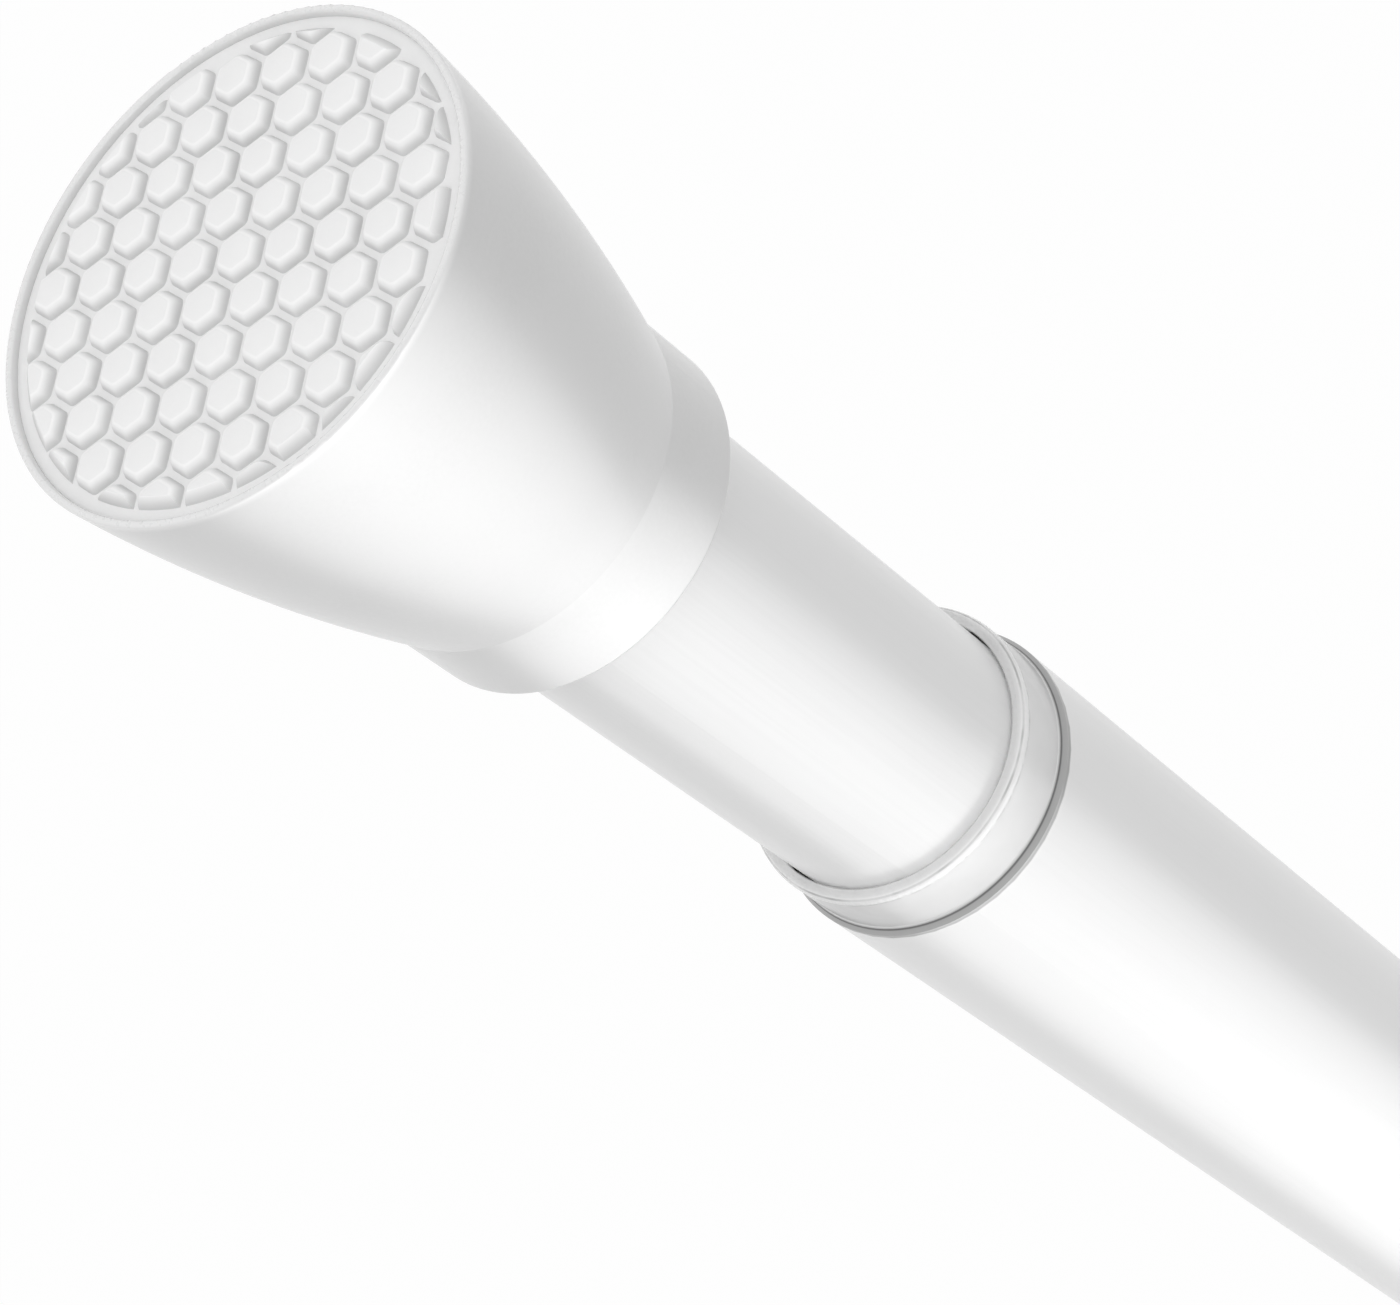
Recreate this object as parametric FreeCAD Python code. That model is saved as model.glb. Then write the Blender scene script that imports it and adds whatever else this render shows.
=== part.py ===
import FreeCAD, Part
import math
import os

# Spring tension rod, in millimetres. X runs along the rod, from the wall face of the front pad (x = 0)
# to the wall face of the rear pad, Z is up, and every turned piece has the X axis as its own axis.

# Tubes, and the rod as it lies at rest
rod_length = 426.0
inner_tube_r = 11.0
outer_tube_r = 12.7
tube_wall = 0.5
bare_inner_tube = 41.0
closing_room = 20.0
lock_clearance = 14.2

# Fits, as radial or end clearances
press_gap = 0.05
running_gap = 0.07
end_gap = 0.2
stop_gap = 0.1

# End caps: a flared shell, a socket for the tube and a ring-shaped hollow with ribs behind the pad
cap_length = 36.0
cap_mouth_slope = 0.055
cap_flare_length = 28.9
cap_neck_wall = 2.33
cap_flare_rise = 3.07
cap_socket_wall = 2.0
cap_shell_wall = 1.9
cap_web = 3.0
cap_rim_width = 0.6
cap_rim_setback = 0.1
cap_rim_edge = 0.28
cap_neck_edge = 0.4
cap_rib_count = 8
cap_rib = 1.3
cap_hollow_end_width = 0.9
cap_hollow_step = 0.5

# Grip pads: a soft disc with drafted honeycomb islands on its wall face
pad_base = 1.25
island_height = 0.75
island_pitch = 3.86
island_width = 2.78
island_draft = 0.32
island_field_inset = 0.95
island_smallest = 0.3
pattern_turn = 30.0
pattern_y = 0.8
pattern_z = 0.2

# Tube plugs that take the cap screws
plug_length = 20.0
plug_face = 2.5
plug_skin = 1.5
plug_core_r = 4.2
plug_rib_count = 6
plug_rib = 1.5

# Screws
screw_shank_r = 1.75
screw_head_r = 3.6
screw_head_height = 2.0
screw_length = 16.0
screw_recess = 0.9
screw_recess_depth = 1.2

# Dimples pressed into the tubes to hold the plugs and bushes
dimple_r = 2.5
dimple_depth = 0.9
dimple_count = 3

# Spring and what it bears on
spring_travel = 20.0
spring_length = 68.4
spring_coil_r = 8.7
spring_wire_r = 0.9
spring_pitch = 4.9
spring_end_pitch = 1.85
seat_washer = 0.8
seat_washer_gap = 0.3
spring_stop_length = 12.0
spring_stop_hollow = 9.0
spigot_length = 6.0
spigot_gap = 0.6

# Plunger: head, flatted stem, round journal and eccentric stub
head_length = 8.0
head_land = 2.5
head_waist_r = 9.0
stem_r = 6.5
stem_flat = 5.2
stem_reach = 1.0
journal_r = 5.2
journal_length = 9.2
stub_r = 4.2
stub_length = 10.8
stub_offset = 0.9

# Stem bush in the end of the inner tube
stem_bush_shank = 16.0
stem_bush_flange = 3.0
air_notch_r = 1.6
air_notch_count = 4

# Centring bush, its friction ring, and the cam ring that the eccentric stub wedges
friction_ring_r = 0.8
drive_peg_r = 1.2
drive_peg_circle = 8.0
drive_peg_length = 4.0
drive_peg_gap = 0.8
cam_ring_gap = 0.6
cam_groove_r = 0.6
cam_groove_set_out = 0.2
cam_groove_count = 12
cam_washer_r = 6.5
cam_washer_thickness = 0.8
cam_screw_length = 8.0
cam_screw_head_r = 3.2
cam_screw_recess = 3.84

# Clear collar in the mouth of the outer tube
collar_shank = 16.0
collar_flange = 5.9
collar_lip_r = 11.6
collar_shoulder_r = 12.2
collar_lip_round = 0.7
collar_bead = 0.8
collar_bead_slope = 0.65
collar_edge = 0.2
collar_relief = 0.25
collar_land = 3.0

# The cap's mouth and the honeycomb's round edge, which follow from the wide tube
cap_mouth_r = outer_tube_r + cap_neck_wall + cap_flare_rise
island_field_r = cap_mouth_r - cap_rim_width - island_field_inset

# Places along the rod that follow from these sizes
pad_floor_x = island_height
pad_back_x = pad_floor_x + pad_base
web_back_x = pad_back_x + cap_web
collar_x = cap_length + bare_inner_tube
outer_tube_x = collar_x + collar_flange
outer_tube_end = rod_length - web_back_x
stem_length = stem_bush_flange + spring_travel + stem_reach
lock_end_length = journal_length + stub_length + cam_washer_thickness + screw_head_height
lock_end = outer_tube_end - plug_length - closing_room - lock_clearance
inner_tube_end = lock_end - lock_end_length - stem_length
inner_bore_r = inner_tube_r - tube_wall
outer_bore_r = outer_tube_r - tube_wall
stem_bush_x = inner_tube_end - stem_bush_shank
head_x = stem_bush_x - stop_gap - head_length
stem_x = head_x + head_length
stem_bush_end = inner_tube_end + stem_bush_flange
stem_end = inner_tube_end + stem_length
journal_end = stem_end + journal_length
stub_end = journal_end + stub_length
rear_seat_x = head_x - seat_washer
front_seat_x = rear_seat_x - spring_length - seat_washer
spring_stop_x = front_seat_x - spring_stop_length
spigot_r = spring_coil_r - spring_wire_r - spigot_gap
drive_peg_end = journal_end - end_gap + drive_peg_length

vector = FreeCAD.Vector
origin = vector(0, 0, 0)
along = vector(1, 0, 0)


def bar(x_start, x_end, radius, y=0.0, z=0.0):
    """A round bar along X."""
    return Part.makeCylinder(radius, x_end - x_start, vector(x_start, y, z), along)


def sleeve(x_start, x_end, outer_r, inner_r):
    """A plain round sleeve along X."""
    return bar(x_start, x_end, outer_r).cut(bar(x_start, x_end, inner_r))


def line(start, end):
    """A straight profile edge between two (x, radius) points."""
    return Part.LineSegment(vector(*start, 0), vector(*end, 0)).toShape()


def arc(start, middle, end):
    """A round profile edge through three (x, radius) points."""
    return Part.Arc(vector(*start, 0), vector(*middle, 0), vector(*end, 0)).toShape()


def turned(edges):
    """The solid that a closed profile of (x, radius) edges sweeps round the X axis."""
    return Part.Face(Part.Wire(edges)).revolve(origin, along, 360)


def turned_corners(corners):
    """A turned solid with straight edges between its (x, radius) corners."""
    closed = corners + corners[:1]
    return turned([line(a, b) for a, b in zip(closed, closed[1:])])


def around(shape, count, first=0.0):
    """Copies of a shape, evenly spaced round the X axis."""
    copies = []
    for number in range(count):
        copy = shape.copy()
        copy.rotate(origin, along, first + 360.0 * number / count)
        copies.append(copy)
    return copies


def one_solid(shape):
    """The single solid that an operation should leave."""
    if len(shape.Solids) != 1:
        raise ValueError("expected one solid, found %d" % len(shape.Solids))
    return shape.Solids[0]


def at_rear(shape):
    """The same piece turned end for end, at the far end of the rod."""
    turned_piece = shape.copy()
    turned_piece.rotate(origin, vector(0, 0, 1), 180)
    turned_piece.translate(vector(rod_length, 0, 0))
    return turned_piece


def hexagon(x, width):
    """A regular hexagon across X, with its flats facing its six neighbours in the honeycomb."""
    corner_r = width / math.sqrt(3)
    corners = []
    for number in range(7):
        angle = math.radians(pattern_turn + 30 + 60 * number)
        corners.append(vector(x, corner_r * math.cos(angle), corner_r * math.sin(angle)))
    return Part.makePolygon(corners)


def island():
    """One honeycomb island: a low hexagonal frustum, widest at the pad's floor."""
    top = hexagon(0, island_width)
    foot = hexagon(pad_floor_x, island_width + 2 * island_draft)
    return Part.makeLoft([top, foot], True, True)


def honeycomb():
    """Every island of the pattern, trimmed by a round drafted edge."""
    field = Part.makeCone(
        island_field_r, island_field_r + island_draft, pad_floor_x, origin, along
    )
    pattern = []
    steps = math.ceil(2 * island_field_r / island_pitch)
    for column in range(-steps, steps + 1):
        for row in range(-steps, steps + 1):
            first = math.radians(pattern_turn)
            second = math.radians(pattern_turn + 60)
            y = pattern_y + island_pitch * (column * math.cos(first) + row * math.cos(second))
            z = pattern_z + island_pitch * (column * math.sin(first) + row * math.sin(second))
            if math.hypot(y, z) > island_field_r + island_width / 2:
                continue
            piece = island()
            piece.translate(vector(0, y, z))
            if math.hypot(y, z) > island_field_r - island_width:
                piece = piece.common(field)
            pattern += [solid for solid in piece.Solids if solid.Volume > island_smallest]
    return pattern


def grip_pad():
    """The soft pad: a disc in the cap's mouth, with the honeycomb standing level with the cap's rim."""
    disc = bar(pad_floor_x, pad_back_x, cap_mouth_r - cap_rim_width - press_gap)
    return one_solid(disc.multiFuse(honeycomb()).removeSplitter())


def flare_r(x, neck_r):
    """Radius of the cap's flared outside, a parabola from the mouth to the neck."""
    fall = cap_mouth_r - cap_mouth_slope * cap_flare_length - neck_r
    return cap_mouth_r - cap_mouth_slope * x - fall * (x / cap_flare_length) ** 2


def flare_edge(x_start, x_end, neck_r, inset):
    """The flare's profile between two places, or the same curve set in by a wall."""
    start_r = flare_r(x_start, neck_r) - inset
    end_r = flare_r(x_end, neck_r) - inset
    fall = cap_mouth_r - cap_mouth_slope * cap_flare_length - neck_r
    slope = -cap_mouth_slope - 2 * fall * x_start / cap_flare_length ** 2
    middle_x = (x_start + x_end) / 2
    middle_r = start_r + slope * (middle_x - x_start)
    curve = Part.BezierCurve()
    curve.setPoles([vector(x_start, start_r, 0), vector(middle_x, middle_r, 0), vector(x_end, end_r, 0)])
    return curve.toShape()


def cap_shell(tube_r):
    """The cap as turned: rounded rim, flare, neck, web, and the recess that the pad sits in."""
    neck_r = tube_r + cap_neck_wall
    socket_r = tube_r + press_gap
    recess_r = cap_mouth_r - cap_rim_width
    rim_x = cap_rim_setback
    edge = cap_rim_edge
    outer_x = rim_x + edge
    outer_r = flare_r(outer_x, neck_r)
    crest_r = (recess_r + outer_r) / 2
    bend = edge * (1 - math.sqrt(0.5))
    lip = [
        arc((outer_x, recess_r), (rim_x + bend, recess_r + bend), (rim_x, crest_r)),
        arc((rim_x, crest_r), (rim_x + bend, outer_r - bend), (outer_x, outer_r)),
    ]
    round_x = cap_length - cap_neck_edge
    round_mid = cap_neck_edge * (1 - math.sqrt(0.5))
    neck = [
        flare_edge(outer_x, cap_flare_length, neck_r, 0),
        line((cap_flare_length, neck_r), (round_x, neck_r)),
        arc(
            (round_x, neck_r),
            (cap_length - round_mid, neck_r - round_mid),
            (cap_length, neck_r - cap_neck_edge),
        ),
    ]
    inside = [
        line((cap_length, neck_r - cap_neck_edge), (cap_length, socket_r)),
        line((cap_length, socket_r), (web_back_x, socket_r)),
        line((web_back_x, socket_r), (web_back_x, screw_shank_r)),
        line((web_back_x, screw_shank_r), (pad_back_x, screw_shank_r)),
        line((pad_back_x, screw_shank_r), (pad_back_x, recess_r)),
        line((pad_back_x, recess_r), (outer_x, recess_r)),
    ]
    return turned(lip + neck + inside)


def cap_hollow(tube_r):
    """The ring-shaped hollow between the cap's socket and its shell, open behind the pad."""
    neck_r = tube_r + cap_neck_wall
    inner_r = tube_r + cap_socket_wall
    end_x = pad_back_x
    while flare_r(end_x, neck_r) - cap_shell_wall > inner_r + cap_hollow_end_width:
        end_x += cap_hollow_step
    start_r = flare_r(pad_back_x, neck_r) - cap_shell_wall
    end_r = flare_r(end_x, neck_r) - cap_shell_wall
    ring = turned([
        flare_edge(pad_back_x, end_x, neck_r, cap_shell_wall),
        line((end_x, end_r), (end_x, inner_r)),
        line((end_x, inner_r), (pad_back_x, inner_r)),
        line((pad_back_x, inner_r), (pad_back_x, start_r)),
    ])
    rib = Part.makeBox(
        end_x - pad_back_x, cap_rib, cap_mouth_r, vector(pad_back_x, -cap_rib / 2, 0)
    )
    return ring.cut(around(rib, cap_rib_count))


def end_cap(tube_r):
    """A moulded end cap for a tube of this radius, its pad recess facing the wall."""
    head_seat = Part.makeCone(
        screw_head_r + press_gap, screw_shank_r + press_gap, screw_head_height,
        vector(pad_back_x, 0, 0), along,
    )
    shank_hole = bar(pad_back_x, web_back_x, screw_shank_r + press_gap)
    return one_solid(cap_shell(tube_r).cut([cap_hollow(tube_r), head_seat, shank_hole]))


def cross_recess(x, depth, width, reach):
    """Two crossed slots for a driver, cut into a screw head that faces -X."""
    slot = Part.makeBox(depth, width, 2 * reach, vector(x, -width / 2, -reach))
    turned_slot = slot.copy()
    turned_slot.rotate(origin, along, 90)
    return slot.fuse(turned_slot)


def cap_screw():
    """The countersunk screw through the cap's web into the tube plug."""
    head = Part.makeCone(
        screw_head_r, screw_shank_r, screw_head_height, vector(pad_back_x, 0, 0), along
    )
    tip_x = pad_back_x + screw_length
    shank = bar(pad_back_x, tip_x - screw_shank_r, screw_shank_r)
    tip = Part.makeCone(
        screw_shank_r, screw_shank_r / 4, screw_shank_r, vector(tip_x - screw_shank_r, 0, 0), along
    )
    recess = cross_recess(pad_back_x, screw_recess_depth, screw_recess, screw_head_r / 2)
    return one_solid(head.fuse([shank, tip]).cut(recess).removeSplitter())


def tube_plug(bore_r, tube_r):
    """The moulded plug in a tube's end: a screw core and a skin, joined by ribs behind a face."""
    body_r = bore_r - press_gap
    end_x = web_back_x + plug_length
    pocket_x = web_back_x + plug_face
    pocket = sleeve(pocket_x, end_x, body_r - plug_skin, plug_core_r)
    rib = Part.makeBox(end_x - pocket_x, plug_rib, body_r, vector(pocket_x, -plug_rib / 2, 0))
    pockets = pocket.cut(around(rib, plug_rib_count, 30))
    pilot = bar(web_back_x, end_x, screw_shank_r + press_gap)
    dents = dimple_seats(web_back_x + plug_length / 2, tube_r)
    return one_solid(bar(web_back_x, end_x, body_r).cut([pockets, pilot] + dents))


def dimple_ball(x, tube_r, radius):
    """A ball centred outside the tube, which a dimple is pressed to."""
    return Part.makeSphere(radius, vector(x, 0, tube_r + dimple_r - dimple_depth))


def dimple_seats(x, tube_r):
    """The dents that a tube's dimples fill in the piece inside it."""
    return around(dimple_ball(x, tube_r, dimple_r + tube_wall + press_gap), dimple_count)


def dimpled_tube(x_start, x_end, tube_r, places):
    """A drawn tube with rings of dimples pressed into it, its wall following each dimple."""
    tube = sleeve(x_start, x_end, tube_r, tube_r - tube_wall)
    inside = bar(x_start, x_end, tube_r - tube_wall / 2)
    bumps = []
    dents = []
    for x in places:
        bump = dimple_ball(x, tube_r, dimple_r + tube_wall).common(inside)
        bumps += around(bump, dimple_count)
        dents += around(dimple_ball(x, tube_r, dimple_r), dimple_count)
    return one_solid(tube.multiFuse(bumps).cut(dents))


def inner_tube():
    """The thin tube, dimpled over its plug, the spring stop and the stem bush."""
    plug_x = web_back_x + plug_length / 2
    stop_x = spring_stop_x + spring_stop_length / 2
    bush_x = stem_bush_x + stem_bush_shank / 2
    return dimpled_tube(web_back_x, inner_tube_end, inner_tube_r, [plug_x, stop_x, bush_x])


def outer_tube():
    """The wide tube, dimpled over the rear plug inside the rear cap."""
    plug_x = outer_tube_end - plug_length / 2
    return dimpled_tube(outer_tube_x, outer_tube_end, outer_tube_r, [plug_x])


def spring_stop():
    """The cored plug that the spring's front end bears on, with a spigot inside the coils."""
    body = bar(spring_stop_x, front_seat_x, inner_bore_r - press_gap)
    spigot = bar(front_seat_x, front_seat_x + spigot_length, spigot_r)
    hollow = bar(spring_stop_x, spring_stop_x + spring_stop_hollow, spigot_r)
    dents = dimple_seats(spring_stop_x + spring_stop_length / 2, inner_tube_r)
    return one_solid(body.fuse(spigot).cut([hollow] + dents))


def seat_washer_at(x):
    """A flat steel washer between the spring and its seat."""
    return sleeve(x, x + seat_washer, inner_bore_r - seat_washer_gap, spigot_r + press_gap)


def compression_spring():
    """A round-wire spring: open coils between two closed coils, both ends ground flat."""
    start_x = front_seat_x + seat_washer
    end_x = start_x + spring_length
    closed = spring_end_pitch
    open_length = spring_length - 2 * closed
    coils = round(open_length / spring_pitch)
    pieces = [closed, open_length, closed]
    pitches = [closed, open_length / coils, closed]
    edges = []
    reached = 0.0
    for length, pitch in zip(pieces, pitches):
        helix = Part.makeHelix(pitch, length, spring_coil_r)
        helix.translate(vector(0, 0, reached))
        edges += helix.Edges
        reached += length
    path = Part.Wire(edges)
    section = Part.Wire(Part.makeCircle(spring_wire_r, vector(spring_coil_r, 0, 0), vector(0, 1, 0)))
    wire = path.makePipeShell([section], True, True)
    wire.rotate(origin, vector(0, 1, 0), 90)
    wire.translate(vector(start_x, 0, 0))
    ground = bar(start_x, end_x, inner_bore_r)
    return one_solid(wire.common(ground))


def flatted_bar(x_start, x_end, radius, half_flat):
    """A round bar with two opposite flats, facing +Y and -Y."""
    flats = Part.makeBox(
        x_end - x_start, 2 * half_flat, 2 * radius, vector(x_start, -half_flat, -radius)
    )
    return bar(x_start, x_end, radius).common(flats)


def lock_plunger():
    """Spigot, waisted head, flatted stem, round journal and eccentric stub, moulded as one."""
    head_r = inner_bore_r - running_gap
    head = turned_corners([
        (head_x - spigot_length, 0),
        (head_x - spigot_length, spigot_r),
        (head_x, spigot_r),
        (head_x, head_r),
        (head_x + head_land, head_r),
        (head_x + head_land, head_waist_r),
        (stem_x - head_land, head_waist_r),
        (stem_x - head_land, head_r),
        (stem_x, head_r),
        (stem_x, 0),
    ])
    stem = flatted_bar(stem_x, stem_end, stem_r, stem_flat)
    journal = bar(stem_end, journal_end, journal_r)
    stub = bar(journal_end, stub_end, stub_r, 0, stub_offset)
    pilot = bar(stub_end - cam_screw_length, stub_end, screw_shank_r + press_gap, 0, stub_offset)
    return one_solid(head.fuse([stem, journal, stub]).cut(pilot))


def air_notches(x_start, x_end, radius, count, notch_r, first=45.0):
    """Round notches along the edge of a bush, which let air past as the tubes slide."""
    return around(bar(x_start, x_end, notch_r, 0, radius), count, first)


def stem_bush():
    """The bush in the inner tube's end: it keys the stem's flats and centres the tube."""
    shank = bar(stem_bush_x, inner_tube_end, inner_bore_r - press_gap)
    flange = bar(inner_tube_end, stem_bush_end, outer_bore_r - running_gap)
    keyway = flatted_bar(
        stem_bush_x, stem_bush_end, stem_r + running_gap, stem_flat + running_gap
    )
    notches = air_notches(inner_tube_end, stem_bush_end, outer_bore_r, air_notch_count, air_notch_r)
    dents = dimple_seats(stem_bush_x + stem_bush_shank / 2, inner_tube_r)
    return one_solid(shank.fuse(flange).cut([keyway] + notches + dents))


def centring_bush():
    """The bush that turns on the journal and slides in the outer tube, with a peg for the cam ring."""
    start_x = stem_end + end_gap
    end_x = journal_end - end_gap
    middle_x = (start_x + end_x) / 2
    body = bar(start_x, end_x, outer_bore_r - running_gap)
    bore = bar(start_x, end_x, journal_r + running_gap)
    groove_r = outer_bore_r - press_gap - 2 * friction_ring_r - press_gap
    groove_half = friction_ring_r + press_gap
    groove = sleeve(middle_x - groove_half, middle_x + groove_half, outer_bore_r, groove_r)
    peg = bar(end_x, drive_peg_end, drive_peg_r, 0, drive_peg_circle)
    notches = air_notches(start_x, end_x, outer_bore_r, air_notch_count, cam_groove_r)
    return one_solid(body.cut([bore, groove] + notches).fuse(peg))


def friction_ring():
    """The rubber ring that makes the centring bush turn with the outer tube."""
    middle_x = (stem_end + journal_end) / 2
    ring_r = outer_bore_r - press_gap - friction_ring_r
    return Part.makeTorus(ring_r, friction_ring_r, vector(middle_x, 0, 0), along)


def cam_ring():
    """The grooved ring on the eccentric stub, round the rod's axis until it is turned."""
    start_x = journal_end + end_gap / 2
    end_x = stub_end - end_gap
    ring_r = outer_bore_r - cam_ring_gap
    body = bar(start_x, end_x, ring_r)
    bore = bar(start_x, end_x, stub_r + running_gap, 0, stub_offset)
    peg_hole = bar(
        start_x, drive_peg_end + drive_peg_gap, drive_peg_r + drive_peg_gap, 0, drive_peg_circle
    )
    groove_turn = 180.0 / cam_groove_count
    grooves = air_notches(
        start_x, end_x, ring_r + cam_groove_set_out, cam_groove_count, cam_groove_r, groove_turn
    )
    return one_solid(body.cut([bore, peg_hole] + grooves))


def cam_washer():
    """The washer that keeps the cam ring on its stub."""
    disc = bar(stub_end, stub_end + cam_washer_thickness, cam_washer_r, 0, stub_offset)
    hole = bar(stub_end, stub_end + cam_washer_thickness, screw_shank_r + press_gap, 0, stub_offset)
    return one_solid(disc.cut(hole))


def cam_screw():
    """The pan-head screw in the end of the eccentric stub."""
    seat_x = stub_end + cam_washer_thickness
    head_end = seat_x + screw_head_height
    head = bar(seat_x, head_end, cam_screw_head_r)
    shank = bar(seat_x - cam_screw_length + end_gap, seat_x, screw_shank_r)
    recess = cross_recess(
        head_end - screw_recess_depth, screw_recess_depth, screw_recess, cam_screw_recess / 2
    )
    screw = head.fuse(shank).cut(recess)
    screw.translate(vector(0, 0, stub_offset))
    return one_solid(screw)


def clear_collar():
    """The clear bush in the outer tube's mouth: rounded lip, and a bevelled bead at the tube's end."""
    bore_r = inner_tube_r + running_gap
    relief_r = bore_r + collar_relief
    shank_r = outer_bore_r - press_gap
    end_x = outer_tube_x + collar_shank
    bead_x = outer_tube_x - collar_bead
    edge = collar_edge
    lip_rise = collar_shoulder_r - collar_lip_r
    lip_bend = 1 - math.sqrt(0.5)
    return one_solid(turned([
        line((collar_x, bore_r), (collar_x, collar_lip_r)),
        arc(
            (collar_x, collar_lip_r),
            (collar_x + collar_lip_round * lip_bend, collar_shoulder_r - lip_rise * lip_bend),
            (collar_x + collar_lip_round, collar_shoulder_r),
        ),
        line((collar_x + collar_lip_round, collar_shoulder_r), (bead_x, collar_shoulder_r)),
        line((bead_x, collar_shoulder_r), (bead_x + collar_bead_slope, outer_tube_r)),
        line((bead_x + collar_bead_slope, outer_tube_r), (outer_tube_x, outer_tube_r)),
        line((outer_tube_x, outer_tube_r), (outer_tube_x, shank_r)),
        line((outer_tube_x, shank_r), (end_x - edge, shank_r)),
        line((end_x - edge, shank_r), (end_x, shank_r - edge)),
        line((end_x, shank_r - edge), (end_x, bore_r)),
        line((end_x, bore_r), (end_x - collar_land, bore_r)),
        line((end_x - collar_land, bore_r), (end_x - collar_land, relief_r)),
        line((end_x - collar_land, relief_r), (outer_tube_x, relief_r)),
        line((outer_tube_x, relief_r), (outer_tube_x, bore_r)),
        line((outer_tube_x, bore_r), (collar_x, bore_r)),
    ]))


def all_pieces():
    """Every piece of the rod by its name."""
    pad = grip_pad()
    screw = cap_screw()
    return {
        "front_grip_pad": pad,
        "front_end_cap": end_cap(inner_tube_r),
        "front_cap_screw": screw,
        "front_tube_plug": tube_plug(inner_bore_r, inner_tube_r),
        "inner_tube": inner_tube(),
        "spring_stop": spring_stop(),
        "front_spring_washer": seat_washer_at(front_seat_x),
        "compression_spring": compression_spring(),
        "rear_spring_washer": seat_washer_at(rear_seat_x),
        "stem_bush": stem_bush(),
        "lock_plunger": lock_plunger(),
        "centring_bush": centring_bush(),
        "friction_ring": friction_ring(),
        "cam_ring": cam_ring(),
        "cam_washer": cam_washer(),
        "cam_screw": cam_screw(),
        "clear_collar": clear_collar(),
        "outer_tube": outer_tube(),
        "rear_tube_plug": at_rear(tube_plug(outer_bore_r, outer_tube_r)),
        "rear_cap_screw": at_rear(screw),
        "rear_end_cap": at_rear(end_cap(outer_tube_r)),
        "rear_grip_pad": at_rear(pad),
    }


os.makedirs("parts", exist_ok=True)
for name, shape in all_pieces().items():
    if not shape.isValid():
        raise ValueError("%s is not a valid solid" % name)
    shape.exportStep("parts/%s.step" % name)
    box = shape.BoundBox
    print("%s x %.2f to %.2f, volume %.1f" % (name, box.XMin, box.XMax, shape.Volume))
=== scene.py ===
import math

import bmesh
import bpy
from mathutils import Matrix, Vector


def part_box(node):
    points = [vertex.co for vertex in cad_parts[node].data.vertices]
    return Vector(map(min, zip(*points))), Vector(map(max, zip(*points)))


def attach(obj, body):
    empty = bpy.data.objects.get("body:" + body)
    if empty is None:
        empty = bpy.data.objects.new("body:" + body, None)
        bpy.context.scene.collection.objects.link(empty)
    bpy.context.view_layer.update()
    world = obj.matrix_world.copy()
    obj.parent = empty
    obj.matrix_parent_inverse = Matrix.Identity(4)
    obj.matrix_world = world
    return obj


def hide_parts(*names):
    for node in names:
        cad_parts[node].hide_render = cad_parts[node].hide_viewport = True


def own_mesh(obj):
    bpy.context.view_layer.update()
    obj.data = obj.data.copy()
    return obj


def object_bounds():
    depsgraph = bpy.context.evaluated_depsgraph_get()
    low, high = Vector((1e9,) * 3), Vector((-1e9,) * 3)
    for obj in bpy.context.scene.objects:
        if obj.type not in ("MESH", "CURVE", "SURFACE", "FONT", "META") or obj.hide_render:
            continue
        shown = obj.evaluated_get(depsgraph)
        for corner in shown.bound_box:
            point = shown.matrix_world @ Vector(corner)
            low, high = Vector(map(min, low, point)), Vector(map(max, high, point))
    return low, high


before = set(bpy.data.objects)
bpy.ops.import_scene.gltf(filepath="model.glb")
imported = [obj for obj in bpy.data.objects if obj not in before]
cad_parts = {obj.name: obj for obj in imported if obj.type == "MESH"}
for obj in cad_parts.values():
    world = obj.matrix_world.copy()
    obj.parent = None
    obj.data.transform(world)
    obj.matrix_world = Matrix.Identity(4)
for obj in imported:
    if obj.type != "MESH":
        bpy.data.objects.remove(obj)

cad_low, cad_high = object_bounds()
mm = 0.001
rod_length = cad_high.x - cad_low.x

# Tubes. Two thin steel tubes, one sliding in the other, drawn to size, pressed with small dimples
# over the plugs and bushes inside them, then coated with a white baked enamel. The enamel has a
# faint orange peel and hair-fine rubbed lines along the rod, and turns grey at the wide tube's end.
enamel_white = (0.81, 0.81, 0.81, 1)
enamel_shade = (0.79, 0.79, 0.79, 1)
enamel_peel = 1.1 * mm
enamel_rub = 0.35 * mm
enamel_rub_length = 40 * mm
# Grey band at the wide tube's end.
enamel_mouth_grey = (0.30, 0.30, 0.30, 1)
enamel_mouth_grey_start = 0.16 * mm
enamel_mouth_grey_end = 0.38 * mm
enamel_mottle = 22 * mm
enamel_shade_step = (0.42, 0.72)
enamel_roughness = 0.26
enamel_rubbed_rougher = 0.10
enamel_gloss = 0.35
enamel_rubbed_duller = 0.15
enamel_relief = 0.012 * mm
tube_gap_from = 0.5 * mm
tube_gap_full = 0.8 * mm
wide_tube_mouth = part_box("outer_tube")[0].x
narrow_tube_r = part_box("inner_tube")[1].y


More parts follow.
